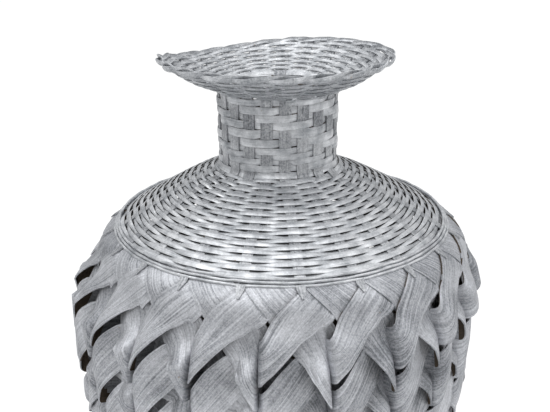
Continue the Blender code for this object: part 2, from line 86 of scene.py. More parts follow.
WHITE = (1.0, 1.0, 1.0, 1.0)

log = logging.getLogger("bamboo_vase")


# Helpers

def stake_angle(place: float | Array) -> float | Array:
    """Angle of a place counted in stakes, in radians."""
    return STAKE_PHASE + TURN * place


def space(radius: Array, angle: Array, height: Array) -> Array:
    """Points in metres, from radius and height in millimetres and the angle from the front in radians."""
    radius, angle, height = np.broadcast_arrays(radius, angle, height)
    return np.stack([radius * np.sin(angle), -radius * np.cos(angle), height], axis=-1) * MM


def smoothstep(value: Array, low: float, high: float) -> Array:
    """Smooth ramp from 0 at low to 1 at high."""
    t = np.clip((np.asarray(value, float) - low) / (high - low), 0.0, 1.0)
    return t * t * (3.0 - 2.0 * t)


def table(value: Array, rows: Sequence[Pair]) -> Array:
    """Value read from rows of (position, value), in rising or falling order."""
    rows = sorted(rows)
    return np.interp(value, [row[0] for row in rows], [row[1] for row in rows])


def wander(place: float | Array, seed: int) -> Array:
    """Slow seeded wobble between about -1 and 1, for hand work that is never quite even.

    Args:
        place: position, one unit of it for about one wave of the slowest part.
        seed: number that names the wobble.

    Returns:
        The wobble at each position.
    """
    rng = np.random.RandomState(seed)
    total = np.zeros_like(np.asarray(place, float))
    waves = 5
    for wave in range(waves):
        rate = (0.35 + wave * 0.8) * rng.uniform(0.8, 1.2)
        total += np.sin(place * rate * FULL_TURN + rng.uniform(0, 6.28)) / (1.0 + wave * 0.6)
    return total / waves * 1.6


def columns_across(count: int = 5, half_width: float = 0.5) -> Array:
    """Places of a strip's columns from its left edge to its right edge."""
    return np.linspace(-half_width, half_width, count)[None, :]


def bulge(across: Array, half_width: float = 0.5) -> Array:
    """Round section of a strip, 1 at its middle and 0 at its edges."""
    return 1.0 - (across / half_width) ** 2


def grain_lengths(along: Array, across: Array, index: int = 0) -> Array:
    """Lengths along and across a strip in metres, from millimetres, apart from other strips' lengths."""
    lengths = np.broadcast_arrays(along + index * GRAIN_ALONG, across + index * GRAIN_ACROSS)
    return np.stack(lengths, axis=-1) * MM


def name_new_piece(name: str) -> tuple[Object, bpy.types.Mesh]:
    """Name the piece that an operator has just added and made active, and give it with its mesh."""
    piece = bpy.context.active_object
    piece.name = piece.data.name = name
    return piece, piece.data


def finish_new_piece(smooth_angle: float) -> None:
    """Turn the faces of the newest piece outward and smooth its edges, while it is active.

    Args:
        smooth_angle: bend in degrees below which an edge looks smooth.
    """
    bpy.ops.object.mode_set(mode="EDIT")
    bpy.ops.mesh.select_all(action="SELECT")
    bpy.ops.mesh.normals_make_consistent(inside=False)
    bpy.ops.object.mode_set(mode="OBJECT")
    bpy.ops.object.shade_smooth_by_angle(angle=math.radians(smooth_angle))


def read_vectors(items: bpy.types.bpy_prop_collection, name: str) -> Array:
    """Vector that each item holds under a name, one to a row."""
    values = np.zeros(len(items) * 3)
    items.foreach_get(name, values)
    return values.reshape(-1, 3)


def write_grain(mesh: bpy.types.Mesh, lengths: Array) -> None:
    """Write the UV layer that the grain follows.

    Args:
        mesh: the mesh, with the layer that its primitive came with.
        lengths: each point's lengths along and across the strip, in metres.
    """
    corner = np.zeros(len(mesh.loops), int)
    mesh.loops.foreach_get("vertex_index", corner)
    layer = mesh.uv_layers[0]
    layer.name = GRAIN
    layer.data.foreach_set("uv", lengths[corner].ravel())


def lay_strip(name: str, points: Array, lengths: Array, thickness: float, smooth_angle: float) -> Object:
    """Strip that starts as a flat grid and is laid along its path, then given its thickness.

    No edit operator can lead a strip over and under others, so the grid's points are placed in code.

    Args:
        name: the piece's name.
        points: array of rows along the strip, columns across it and x, y, z, in metres.
        lengths: array of rows, columns and (along, across) in metres, for the grain.
        thickness: the strip's thickness in millimetres.
        smooth_angle: bend in degrees below which its edges look smooth.

    Returns:
        The closed strip.
    """
    rows, columns = points.shape[:2]
    bpy.ops.mesh.primitive_grid_add(x_subdivisions=columns - 1, y_subdivisions=rows - 1, size=1.0)
    piece, mesh = name_new_piece(name)
    flat = read_vectors(mesh.vertices, "co")
    column = np.rint((flat[:, 0] + 0.5) * (columns - 1)).astype(int)
    row = np.rint((flat[:, 1] + 0.5) * (rows - 1)).astype(int)
    mesh.vertices.foreach_set("co", points[row, column].ravel())
    write_grain(mesh, lengths[row, column])
    mesh.update()
    solid = piece.modifiers.new("thickness", "SOLIDIFY")
    solid.thickness = thickness * MM
    solid.offset = 0.0
    solid.use_even_offset = False
    bpy.ops.object.modifier_apply(modifier=solid.name)
    finish_new_piece(smooth_angle)
    return piece


def give_bare_painted_shade_inside(piece: Object, bare: Material) -> None:
    """Give the bare material, unpainted cane darkened with painted shade, to the faces that look into the
    vase below its mouth.

    Args:
        piece: the piece to dress.
        bare: the bare material, with painted shade.
    """
    mesh = piece.data
    mesh.materials.append(bare)
    middle = read_vectors(mesh.polygons, "center")
    normal = read_vectors(mesh.polygons, "normal")
    radius = np.hypot(middle[:, 0], middle[:, 1])
    outward = (middle[:, 0] * normal[:, 0] + middle[:, 1] * normal[:, 1]) / radius
    # Faces that look inward below the mouth get the painted shade of the vase's inside
    inside = (outward < BARE_SHADE_TURN) & (middle[:, 2] < BARE_SHADE_TOP * MM) & (normal[:, 2] < BARE_SHADE_RISE)
    mesh.polygons.foreach_set("material_index", inside.astype(int))
    mesh.update()


def seat(piece: Object, material: Material, slot: str, *nodes: str, bare: Material | None = None) -> None:
    """Dress a piece and let it ride on the vase in place of its CAD nodes.

    Args:
        piece: the finished mesh.
        material: its finish.
        slot: the recolouring slot it belongs to; not used.
        nodes: names of the CAD nodes that it stands for.
        bare: finish of the faces that the paint didn't reach, darkened with painted shade, if it has any.
    """
    piece.data.materials.clear()
    piece.data.materials.append(material)
    if bare:
        give_bare_painted_shade_inside(piece, bare)
    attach(piece, "root")
    if nodes:
        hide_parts(*nodes)
    log.info("%s: %d faces", piece.name, len(piece.data.polygons))


# Materials

def linear(hex_colour: str) -> tuple[float, float, float, float]:
    """Linear colour of an sRGB hex value.

    Args:
        hex_colour: the value, such as #c9ccd1.

    Returns:
        Red, green, blue and a full alpha.
    """
    value = hex_colour.lstrip("#")
    parts = [int(value[i:i + 2], 16) / 255.0 for i in (0, 2, 4)]
    turned = [part / 12.92 if part <= 0.04045 else ((part + 0.055) / 1.055) ** 2.4 for part in parts]
    return (turned[0], turned[1], turned[2], 1.0)


def join(tree: Tree, node: bpy.types.Node, links: dict) -> None:
    """Join output sockets to a node's input sockets."""
    for key, source in links.items():
        tree.links.new(source, node.inputs[key])


def add_node(tree: Tree, kind: str, values: dict | None = None, links: dict | None = None,
             **settings: str) -> bpy.types.Node:
    """Add a node with its socket values, incoming links and settings.

    Args:
        tree: the material's tree.
        kind: the node's type without the words ShaderNode.
        values: constants for its input sockets.
        links: output sockets to join to its input sockets.
        settings: attributes of the node.

    Returns:
        The new node.
    """
    node = tree.nodes.new("ShaderNode" + kind)
    for key, value in settings.items():
        setattr(node, key, value)
    for key, value in (values or {}).items():
        node.inputs[key].default_value = value
    join(tree, node, links or {})
    return node


def new_material(name: str) -> tuple[Material, Tree, bpy.types.Node]:
    """Fresh material, its node tree and its shader."""
    material = bpy.data.materials.new(name)
    material.use_nodes = True
    return material, material.node_tree, material.node_tree.nodes["Principled BSDF"]


def map_range(tree: Tree, source: Socket, values: dict) -> Socket:
    """Value mapped from one range to another."""
    return add_node(tree, "MapRange", values, {"Value": source}).outputs[0]


def bump(tree: Tree, depth_mm: float, links: dict) -> Socket:
    """Normal bent by a height of some depth."""
    return add_node(tree, "Bump", {"Strength": 1.0, "Distance": depth_mm * MM}, links).outputs[0]


def fibre_noise(tree: Tree, length_mm: float, width_mm: float, values: dict) -> Socket:
    """Noise drawn out along the strip, from the strip's own lengths in metres.

    Args:
        tree: the material's tree.
        length_mm: length of a fibre.
        width_mm: width of a fibre.
        values: the noise's detail and roughness.

    Returns:
        The noise's output.
    """
    grain = add_node(tree, "UVMap", uv_map=GRAIN)
    stretch = add_node(tree, "Mapping", {"Scale": (1000.0 / length_mm, 1000.0 / width_mm, 1.0)},
                       {"Vector": grain.outputs["UV"]})
    return add_node(tree, "TexNoise", {"Scale": 1.0, **values}, {"Vector": stretch.outputs[0]}).outputs[0]


def spot_noise(tree: Tree, scale: float, detail: float, roughness: float) -> Socket:
    """Noise in the piece's own space, by its spots to a metre, its octaves and their roughness."""
    place = add_node(tree, "TexCoord")
    noise = add_node(tree, "TexNoise", {"Scale": scale, "Detail": detail, "Roughness": roughness},
                     {"Vector": place.outputs["Object"]})
    return noise.outputs[0]


@dataclass(frozen=True)
class SilverPaint:
    """Metallic silver lacquer sprayed on split bamboo.

    The lacquer gives a cool, satin sheen that is smoother on the strips' skin side. The cane's fibres
    stand in it as fine lengthwise lines, and small bare specks of tan show where the spray missed.
    """

    name: str
    light: str = "#c9ccd1"
    dark: str = "#8f9399"
    bare: str = "#8a7458"
    roughness: float = 0.4
    metallic: float = 0.55
    fibre_mm: float = 0.7
    fibre_length_mm: float = 45.0
    fibre_depth_mm: float = 0.10
    fibre_share: float = 0.9
    grit_mm: float = 0.9
    grit_depth_mm: float = 0.04
    grit_share: float = 0.35
    bare_share: float = 0.03
    patch_mm: float = 22.0
    tone_reach: float = 0.3
    roughness_swing: float = 0.08
    speck_scale: float = 210.0
    speck_level: float = 0.86
    speck_gain: float = 3.0
    speck_edge: float = 0.04

    def build(self) -> Material:
        """Node material of the lacquer over fibres, grit and bare specks."""
        material, tree, shader = new_material(self.name)
        fibres = fibre_noise(tree, self.fibre_length_mm, self.fibre_mm,
                             {"Detail": 4.0, "Roughness": 0.65, "Distortion": 0.2})
        patches = spot_noise(tree, 1000.0 / self.patch_mm, 3.0, 0.6)
        grit = spot_noise(tree, 1000.0 / self.grit_mm, 2.0, 0.7)
        specks = self.specks(tree)
        metal = map_range(tree, specks, {"To Min": self.metallic, "To Max": 0.0})
        rough = map_range(tree, patches, {
            "From Min": 0.3, "From Max": 0.75, "To Min": self.roughness + self.roughness_swing,
            "To Max": self.roughness - self.roughness_swing})
        lined = add_node(tree, "Math", {1: self.fibre_share}, {0: fibres, 2: patches},
                         operation="MULTIPLY_ADD")
        tone = add_node(tree, "Math", {1: self.grit_share}, {0: grit, 2: lined.outputs[0]},
                        operation="MULTIPLY_ADD")
        middle = 0.5 * (1.0 + self.fibre_share + self.grit_share)
        share = map_range(tree, tone.outputs[0], {"From Min": middle - self.tone_reach,
                                                  "From Max": middle + self.tone_reach})
        lacquer = add_node(tree, "Mix", {6: linear(self.dark), 7: linear(self.light)}, {0: share},
                           data_type="RGBA")
        mixed = add_node(tree, "Mix", {7: linear(self.bare)}, {0: specks, 6: lacquer.outputs[2]},
                         data_type="RGBA")
        low = bump(tree, self.grit_depth_mm, {"Height": grit})
        high = bump(tree, self.fibre_depth_mm, {"Height": fibres, "Normal": low})
        join(tree, shader, {"Base Color": mixed.outputs[2], "Metallic": metal, "Roughness": rough,
                            "Normal": high})
        return material

    def specks(self, tree: Tree) -> Socket:
        """Mask of the few places that the spray missed."""
        edge = self.speck_level - self.bare_share * self.speck_gain
        return map_range(tree, spot_noise(tree, self.speck_scale, 2.0, 0.5),
                         {"From Min": edge, "From Max": edge + self.speck_edge})


@dataclass(frozen=True)
class BareCaneWithPaintedShade:
    """Unpainted inner side of the strips, its brown darkened to near black as painted shade.

    It keeps the gaps of the weave a near black brown instead of silver.
    """

    # Near black browns: the cane's own brown with the shade of the weave's gaps painted in
    light: str = "#5e5040"
    dark: str = "#28231e"
    roughness: float = 0.75
    fibre_mm: float = 0.8
    fibre_length_mm: float = 50.0
    fibre_depth_mm: float = 0.1

    def build(self) -> Material:
        """Dull brown cane with lengthwise fibres, darkened as painted shade."""
        material, tree, shader = new_material("unpainted_cane_inside_painted_shade")
        fibres = fibre_noise(tree, self.fibre_length_mm, self.fibre_mm, {"Detail": 3.0, "Roughness": 0.6})
        colour = add_node(tree, "Mix", {6: linear(self.dark), 7: linear(self.light)}, {0: fibres},
                          data_type="RGBA")
        shader.inputs["Roughness"].default_value = self.roughness
        join(tree, shader, {"Base Color": colour.outputs[2],
                            "Normal": bump(tree, self.fibre_depth_mm, {"Height": fibres})})
        return material


@dataclass(frozen=True)
class Finishes:
    """All finishes of the vase, made once."""

    # Bare inner faces: unpainted cane with painted shade
    bare: Material
    rim: Material
    weft: Material
    stake: Material
    broad: Material
    foot: Material

    @staticmethod
    def make() -> "Finishes":
        """Build each material."""
        weft = SilverPaint("silver_lacquered_cane_weft", light="#e0e2e5", dark="#85898e", roughness=0.43,
                           fibre_mm=0.8, fibre_length_mm=30.0, fibre_depth_mm=0.09, fibre_share=0.6,
                           patch_mm=9.0)
        # The rim's lacquer is the weaver's, rougher and grittier, with darker colours as painted shade that
        # keeps the rim's highlights down
        rim = replace(weft, name="silver_lacquered_cane_rim", light="#d3d5d8", dark="#7c8085",
                      roughness=0.54, grit_mm=1.1, grit_share=0.8)
        stake = SilverPaint("silver_lacquered_cane_stake", light="#c3c5c8", dark="#6a6d72", roughness=0.52,
                            fibre_mm=1.1, grit_mm=1.3, grit_depth_mm=0.12, grit_share=1.0, bare_share=0.035)
        broad = SilverPaint("silver_lacquered_split_bamboo", light="#cbcdd2", dark="#6e7176", roughness=0.54,
                            fibre_mm=1.2, fibre_length_mm=60.0, fibre_depth_mm=0.16, fibre_share=1.2,
                            grit_mm=1.2, grit_share=0.7, patch_mm=35.0)
        foot = SilverPaint("silver_lacquered_plain_bamboo", roughness=0.5, patch_mm=30.0)
        return Finishes(*(finish.build() for finish in (BareCaneWithPaintedShade(), rim, weft, stake, broad, foot)))


# The wall that the stakes follow

class Side(Enum):
    """The viewer's left or right."""

    LEFT = -1
    RIGHT = 1


class Wall:
    """Smooth line down the basket, read by its run from the rim's edge, in millimetres."""

    SPAN_STEPS = 24
    NORMAL_REACH = 1.2

    def __init__(self, points: Sequence[Pair]) -> None:
        """Draw a smooth line through the points.

        Args:
            points: radius and height of each point from the top down.
        """
        knots = np.array(points, float)
        padded = np.vstack([knots[0] * 2 - knots[1], knots, knots[-1] * 2 - knots[-2]])
        t = np.linspace(0.0, 1.0, self.SPAN_STEPS, endpoint=False)[:, None]
        spans = []
        for i in range(len(knots) - 1):
            a, b, c, d = padded[i:i + 4]
            spans.append(b + (c - a) / 2 * t + (a - b * 2.5 + c * 2 - d / 2) * t ** 2
                         + ((d - a) / 2 + (b - c) * 1.5) * t ** 3)
        self.line = np.vstack(spans + [knots[-1:]])
        steps = np.linalg.norm(np.diff(self.line, axis=0), axis=1)
        self.runs = np.concatenate([[0.0], np.cumsum(steps)])
        self.length = float(self.runs[-1])

    def at(self, run: Array) -> tuple[Array, Array]:
        """Radius and height at each run."""
        return np.interp(run, self.runs, self.line[:, 0]), np.interp(run, self.runs, self.line[:, 1])

    def normal(self, run: Array) -> tuple[Array, Array]:
        """Outward direction at each run.

        Args:
            run: runs in millimetres.

        Returns:
            The direction's radius part and height part.
        """
        high_r, high_z = self.at(run - self.NORMAL_REACH)
        low_r, low_z = self.at(run + self.NORMAL_REACH)
        length = np.hypot(low_r - high_r, low_z - high_z)
        return -(low_z - high_z) / length, (low_r - high_r) / length

    def run_at(self, height: float) -> float:
        """Run at which the line drops to a height."""
        return float(np.interp(-height, -self.line[:, 1], self.runs))


def by_degrees(*rows: Pair) -> Rows:
    """Table by the angle from the front in radians, from rows that give it in degrees."""
    return tuple((math.radians(degrees), value) for degrees, value in rows)


NECK_BASE = 240.5
WALL = Wall([
    (76, 313.6), (67.5, 307.6), (58.8, 302.4), (50, 299), (43, 295.8), (41, 290), (40.7, 268), (40.9, 247),
    (42.6, 241.8), (50.2, 236.4), (66.2, 229.9), (84.5, 220.6), (102.9, 210.9), (113.9, 204.5),
    (118.6, 201.2), (121, 193), (124, 176), (126, 150), (126, 112), (119, 69), (109, 32), (101.6, 8.9)])

# Lift of the rim's edge in millimetres, and share by which its radius grows toward its left tip
RIM_WAVE = by_degrees(
    (0, 1), (25, 1.4), (50, 1.9), (75, 2.8), (90, 3.3), (105, 3.3), (125, 3), (145, 2.5), (171, 0.8),
    (185, -1), (200, -2.9), (221, -5), (238, -4.6), (252, -2.6), (264, 0.4), (274, 1.2), (290, 0.4),
    (315, 0.8), (340, 0.8), (360, 1))
RIM_FLARE = by_degrees(
    (0, 0), (200, 0), (235, 0.02), (258, 0.035), (270, 0.045), (285, 0.03), (310, 0.01), (330, 0),
    (360, 0))

# The height above which the rim waves and flares. Each begins at its start, is whole a span further out
# and still grows beyond that up to its limit
RIM_FLOOR = 289.1
WAVE_START, WAVE_SPAN, WAVE_LIMIT = 42.0, 33.0, 1.3
FLARE_START, FLARE_SPAN, FLARE_LIMIT = 50.0, 26.0, 1.2

# Radius that hand work adds on the body's left and right side, and height that it adds on the left, by
# the height above the shoulder's border
LEFT_SIDE = (
    (60, 0), (30, -1.5), (6, -4.5), (-10, -5.2), (-20, -4.5), (-33, -1.5), (-43, 1), (-58, 2), (-80, 2),
    (-90, 2.5), (-108, 7), (-115, 9.5), (-126, 13), (-138, 15), (-150, 14), (-175, 8), (-195, 0))
RIGHT_SIDE = (
    (6, 0), (-15, 1.5), (-30, 0), (-43, -2.5), (-60, -5), (-88, -4), (-104, 2), (-113, 6), (-125, 7.5),
    (-138, 8), (-150, 8), (-175, 5), (-195, 0))
LEFT_SAG = ((60, 0), (30, -1), (6, -2.4), (-60, -2.4), (-150, 0))


def side_share(angle: float | Array, side: Side, low: float = 0.3, high: float = 1.0) -> Array:
    """Share between 0 and 1 of places that lie to a side, from the sine of their angle."""
    return smoothstep(side.value * np.sin(angle), low, high)


def side_reach(height: Array, angle: Array) -> Array:
    """Radius to add at a height above the border, since the body isn't quite round."""
    left = side_share(angle, Side.LEFT) * table(height, LEFT_SIDE)
    return left + side_share(angle, Side.RIGHT) * table(height, RIGHT_SIDE)


def side_sag(height: Array, angle: Array) -> Array:
    """Height to add at a height above the border, where the left side hangs lower."""
    return side_share(angle, Side.LEFT) * table(height, LEFT_SAG)


def rim_lift(radius: Array, angle: Array) -> Array:
    """Tilt and wave of the hand woven rim, none at the neck, in millimetres."""
    share = np.clip((radius - WAVE_START) / WAVE_SPAN, 0.0, WAVE_LIMIT)
    return share * table(np.mod(angle, FULL_TURN), RIM_WAVE)


def rim_reach(radius: Array, angle: Array) -> Array:
    """Radius of the rim with its left tip drawn out, in millimetres."""
    share = np.clip((radius - FLARE_START) / FLARE_SPAN, 0.0, FLARE_LIMIT)
    return radius * (1.0 + share * table(np.mod(angle, FULL_TURN), RIM_FLARE))


def wall_points(run: Array, angle: float | Array, out: Array) -> Array:
    """Points of the wall.

    Args:
        run: runs down the wall in millimetres.
        angle: angles from the front in radians.
        out: distances out of the wall in millimetres.

    Returns:
        The points in metres.
    """
    radius, height = WALL.at(run)
    away_r, away_z = WALL.normal(run)
    radius = radius + away_r * out
    height = height + away_z * out
    above_border = height - BORDER_HEIGHT
    radius = radius + side_reach(above_border, angle)
    height = height + side_sag(above_border, angle)
    on_rim = height > RIM_FLOOR
    lifted = np.where(on_rim, rim_lift(radius, angle), 0.0)
    radius = np.where(on_rim, rim_reach(radius, angle), radius)
    return space(radius, angle, height + lifted)


@dataclass
class StakeSet:
    """The upright stakes, flat strips from the rim to the base, and the tips of their second canes."""

    width: float = 7.0
    neck_extra: float = 1.1
    crown: float = 0.25
    fine_step: float = 1.6
    fine_floor: float = 150.0
    coarse_steps: int = 40
    tip_top: float = 1.0
    tip_fall: float = 5.6
    tip_gap: float = 1.5
    tip_width: float = 0.8
    tip_taper: float = 0.75
    tip_radius: float = 122.0
    tip_length: float = 11.0
    thickness: float = 0.9

    def build(self, finishes: Finishes) -> None:
        """Lay each stake and its tip, and seat them."""
        for index in range(STAKES):
            node = f"stake_{index + 1:02d}"
            seat(self.stake(index), finishes.stake, "silver_stake", node, bare=finishes.bare)
            seat(self.tip(index), finishes.stake, "silver_stake", node)

    def tip(self, index: int) -> Object:
        """Pointed end of the second cane of a stake, which shows below the shoulder's border.

        Args:
            index: the stake's number from the front.

        Returns:
            The tip.
        """
        row = np.linspace(0.0, 1.0, 8)[:, None]
        across = columns_across()
        height = self.tip_top - row * (self.tip_fall + 1.2 * wander(0.3, 360 + index))
        width = self.tip_width * self.width * (1.0 - self.tip_taper * smoothstep(row, 0.25, 1.0))
        slant = 0.8 * wander(row * 0.3, 380 + index)
        angle = stake_angle(index) + (across * width + slant) / self.tip_radius
        radius = table(height, PlaitedCoat.ridge) + self.tip_gap + side_reach(height, angle)
        points = space(radius, angle, BORDER_HEIGHT + height + side_sag(height, angle))
        lengths = grain_lengths(row * self.tip_length, across * width, index)
        return lay_strip(f"cane_stake_tip_{index + 1:02d}", points, lengths, self.thickness, 40.0)

    def stake(self, index: int) -> Object:
        """One stake, a little uneven in width as split cane is.

        Args:
            index: the stake's number from the front.

        Returns:
            The stake.
        """
        bend = WALL.run_at(self.fine_floor)
        fine = np.arange(0.8, bend, self.fine_step)
        coarse = np.linspace(bend, WALL.length - 0.2, self.coarse_steps)
        run = np.concatenate([fine, coarse])[:, None]
        across = columns_across()
        _, height = WALL.at(run)
        neck = smoothstep(height, 236.0, 246.0) * (1.0 - smoothstep(height, 296.0, 304.0))
        width = (self.width + self.neck_extra * neck) * (1.0 + 0.05 * wander(run / 40.0, 300 + index))
        slant = 0.25 * wander(run / 90.0, 340 + index)
        angle = stake_angle(index)
        middle = wall_points(run, angle, self.crown * bulge(across))
        sideways = np.array([math.cos(angle), math.sin(angle), 0.0])
        points = middle + sideways * ((across * width + slant) * MM)[..., None]
        lengths = grain_lengths(run, across * width, index)
        return lay_strip(f"cane_stake_{index + 1:02d}", points, lengths, self.thickness, 40.0)


class Weave(Enum):
    """How a weaver passes the stakes."""

    PLAIN = "over one and under one"
    TWILL = "over two and under two"


# Radii at the neck and at the shoulder's border, where the two values of a weaver's pairs hold
WEAVE_RADII = (42.0, 118.0)


@dataclass
class WovenBand:
    """One long weaver that climbs round the stakes from the low row to the high row.

    Its rows give the run down the wall by the count of turns. Its fill is its width as a share of the
    rows' pitch, over and under a stake, and its grip is how sharply it bends round one.
    """

    name: str
    node: str
    weave: Weave
    rows: Rows
    over_fill: Pair
    under_fill: float
    thickness: float = 0.8
    lift: float = 1.0
    crown: float = 0.35
    steps: int = 6
    # Take the rim's lacquer, rougher and darkened with painted shade
    matt_and_shaded: bool = False
    loose_sides: float = 0.0
    grip: Pair = (2.5, 1.1)
    seed: int = 1

    def level(self, place: Array, radius: Array) -> Array:
        """Level of the weaver between 1 outside a stake and -1 inside it."""
        grip = np.interp(radius, WEAVE_RADII, self.grip)
        turn = place if self.weave is Weave.PLAIN else (place - 0.5) / 2.0
        return np.tanh(grip * np.cos(math.pi * turn)) / np.tanh(grip)

    def pitch(self, row: Array) -> Array:
        """Distance between the neighbours of a row, kept up at the first and the last turn."""
        least = 0.8 * abs(self.rows[0][1] - self.rows[-1][1]) / self.rows[-1][0]
        return np.maximum(np.abs(table(row + 0.5, self.rows) - table(row - 0.5, self.rows)), least)

    def fill(self, place: Array, radius: Array, level: Array) -> Array:
        """Width as a share of the pitch, less on the sides where the rows lie loose.

        Args:
            place: place counted in stakes.
            radius: the wall's radius there.
            level: the weaver's level there.

        Returns:
            The share at each place.
        """
        over = np.interp(radius, WEAVE_RADII, self.over_fill)
        between = 0.5 * (self.under_fill + np.minimum(over, 1.0))
        share = np.where(level > 0.0, over, self.under_fill) * np.abs(level)
        share = share + between * (1.0 - np.abs(level))
        aside = smoothstep(np.abs(np.sin(stake_angle(place))), 0.4, 0.9)
        return share * (1.0 - self.loose_sides * aside)

    def build(self, finishes: Finishes) -> None:
        """Lay the weaver and seat it.

        Args:
            finishes: the vase's finishes.
        """
        total = int(self.rows[-1][0] * STAKES)
        place = np.linspace(0.0, total, total * self.steps + 1)[:, None]
        pitch = self.pitch(place / STAKES)
        middle = table(place / STAKES, self.rows) + pitch * 0.09 * wander(place / 3.0, self.seed)
        radius, _ = WALL.at(middle)
        level = self.level(place, radius)
        width = pitch * self.fill(place, radius, level) * (1.0 + 0.07 * wander(place / 2.0, self.seed + 1))
        across = columns_across()
        out = level * self.lift * (1.0 + 0.18 * wander(place / 1.3, self.seed + 2))
        points = wall_points(middle + across * width, stake_angle(place), out + self.crown * bulge(across))
        lengths = grain_lengths(place * TURN * radius, across * width)
        piece = lay_strip(self.name, points, lengths, self.thickness, 60.0)
        # The rim's lacquer is darkened with painted shade
        finish = finishes.rim if self.matt_and_shaded else finishes.weft
        seat(piece, finish, "silver_weaver", self.node, bare=finishes.bare)


# Plaited coat

@dataclass
class PlaitedCoat:
    """The loose coat of broad strips, pleated between the stakes.

    A place is counted in stakes around the vase, and a tier in crossings down from the border. Heights
    are above the border. The tables whose first column goes from 0 to 1 lead from one stake to the next,
    and the tables of edges give the shift of the left and of the right edge at a height.
    """

    tiers: int = 10
    tier_step: float = 20.2
    top_tier_height: float = 6.6
    top_height: float = 2.2
    half_span: float = 0.434
    cross_slope: float = 1.034
    upright_tiers: Pair = (-0.2, 9.7)
    upright_ease: float = 1.2
    columns: int = 15
    thickness: float = 1.0
    widest: float = 149.9
    full_radius: float = 139.6
    slack_share: float = 0.42
    tilt: float = 2.8
    cup: float = 0.35
    under: float = -2.6
    pleat_under: float = -3.4
    deepest: float = -11.0
    right_shallower: float = 9.0
    right_tuck: float = 0.62
    back_share: float = 0.25
    path_sway: float = 0.014
    width_sway: float = 0.05
    grain_tier: float = 29.06
    grain_across: Pair = (30.0, 29.0)
    grain_apart: Pair = (410.0, 130.0)
    folds: tuple[float, ...] = (
        0.0, 0.07, 0.14, 0.20, 0.25, 0.285, 0.31, 0.323, 0.334, 0.345, 0.356, 0.367, 0.38, 0.405, 0.44, 0.48,
        0.53, 0.59, 0.66, 0.74, 0.83, 0.92)
    ridge: Rows = (
        (6, 113), (3, 117.6), (0, 121), (-3, 126), (-6, 129.4), (-9.3, 131.6), (-13, 133.4), (-18, 135),
        (-26, 136.6), (-34, 137.8), (-49, 139.4), (-60, 140), (-90, 138.4), (-120, 133.5), (-150, 127),
        (-175, 120), (-195.5, 113))
    swell: Rows = (
        (0, 0), (-8, 0.07), (-18, 0.36), (-26, 0.62), (-34, 0.82), (-45, 1), (-60, 1.02), (-85, 0.8),
        (-120, 0.35), (-150, 0.1), (-195, 0))
    pleat: Rows = (
        (-12, 0), (-17, 0.3), (-24, 0.8), (-30, 1), (-70, 1), (-100, 0.75), (-130, 0.3), (-155, 0))
    left_leaf: Rows = (
        (0, 0), (0.12, -1.4), (0.2, -4.4), (0.25, -8), (0.30, -10.2), (0.33, -7), (0.345, -1.6),
        (0.356, 2.6), (0.367, 5.2), (0.38, 7.2), (0.405, 9.2), (0.44, 10.6), (0.48, 11.2), (0.53, 11),
        (0.59, 10.2), (0.7, 7.8), (0.85, 3.8), (1, 0))
    right_leg: Rows = (
        (0, 6.4), (0.07, 8.4), (0.14, 9.8), (0.2, 10.4), (0.25, 10.2), (0.285, 9), (0.31, 7), (0.323, 5.2),
        (0.334, 2.8), (0.345, -0.6), (0.367, -7), (0.40, -11), (0.5, -12.5), (0.64, -9.6), (0.76, -4),
        (0.88, 1.6), (1, 6.4))
    left_leg_edges: Edges = (
        (4, 0, 0), (-8, -0.08, 0), (-15, -0.07, 0.03), (-21, 0.04, -0.04), (-27, 0.12, -0.08),
        (-34, 0.06, -0.16), (-42, -0.12, -0.18), (-52, -0.18, -0.2), (-70, -0.08, -0.1), (-100, 0, 0))
    right_leg_edges: Edges = (
        (4, 0, 0), (-5, -0.1, 0.03), (-18, -0.14, -0.02), (-25, -0.22, -0.12), (-32, -0.3, -0.16),
        (-40, -0.32, -0.08), (-58, -0.24, 0), (-80, -0.1, 0), (-100, 0, 0))
    left_droop: Rows = (
        (0, 0), (0.24, 0), (0.32, 8.6), (0.345, 10.2), (0.42, 8.4), (0.55, 3.6), (0.7, 0.8), (0.85, 0),
        (1, 0))
    right_droop: Rows = ((0, 0), (0.12, 1.5), (0.34, 12), (0.6, 9), (1, 0))

    def tier_of(self, height: Array) -> Array:
        """Tier at a height, with the extra length that the turn under the border takes up."""
        narrow = np.maximum(0.0, self.full_radius - table(height, self.ridge))
        slack = self.slack_share * narrow * smoothstep(height, -120.0, -60.0)
        return (self.top_tier_height - height - slack) / self.tier_step

    def height_of(self, tier: Array) -> Array:
        """Height at a tier."""
        heights = np.linspace(12.0, -200.0, 500)
        return np.interp(tier, self.tier_of(heights), heights)

    def centre_places(self, fold_place: float, lean: Side) -> Array:
        """Places where a leg's middle stands on the fold lines of the pleats, from the top down.

        Args:
            fold_place: place of the strip's fold, counted in stakes.
            lean: which way the leg goes.

        Returns:
            The places as a column.
        """
        first = float(self.tier_of(np.array(self.top_height)))
        top = fold_place - lean.value * (self.tiers - first) / 2.0
        low, high = sorted((top, fold_place))
        apart = 0.012
        spots = [stake + fold for stake in range(math.floor(low), math.ceil(high)) for fold in self.folds]
        spots = [low] + [spot for spot in spots if low + apart < spot < high - apart] + [high]
        return np.array(spots if lean is Side.RIGHT else spots[::-1])[:, None]

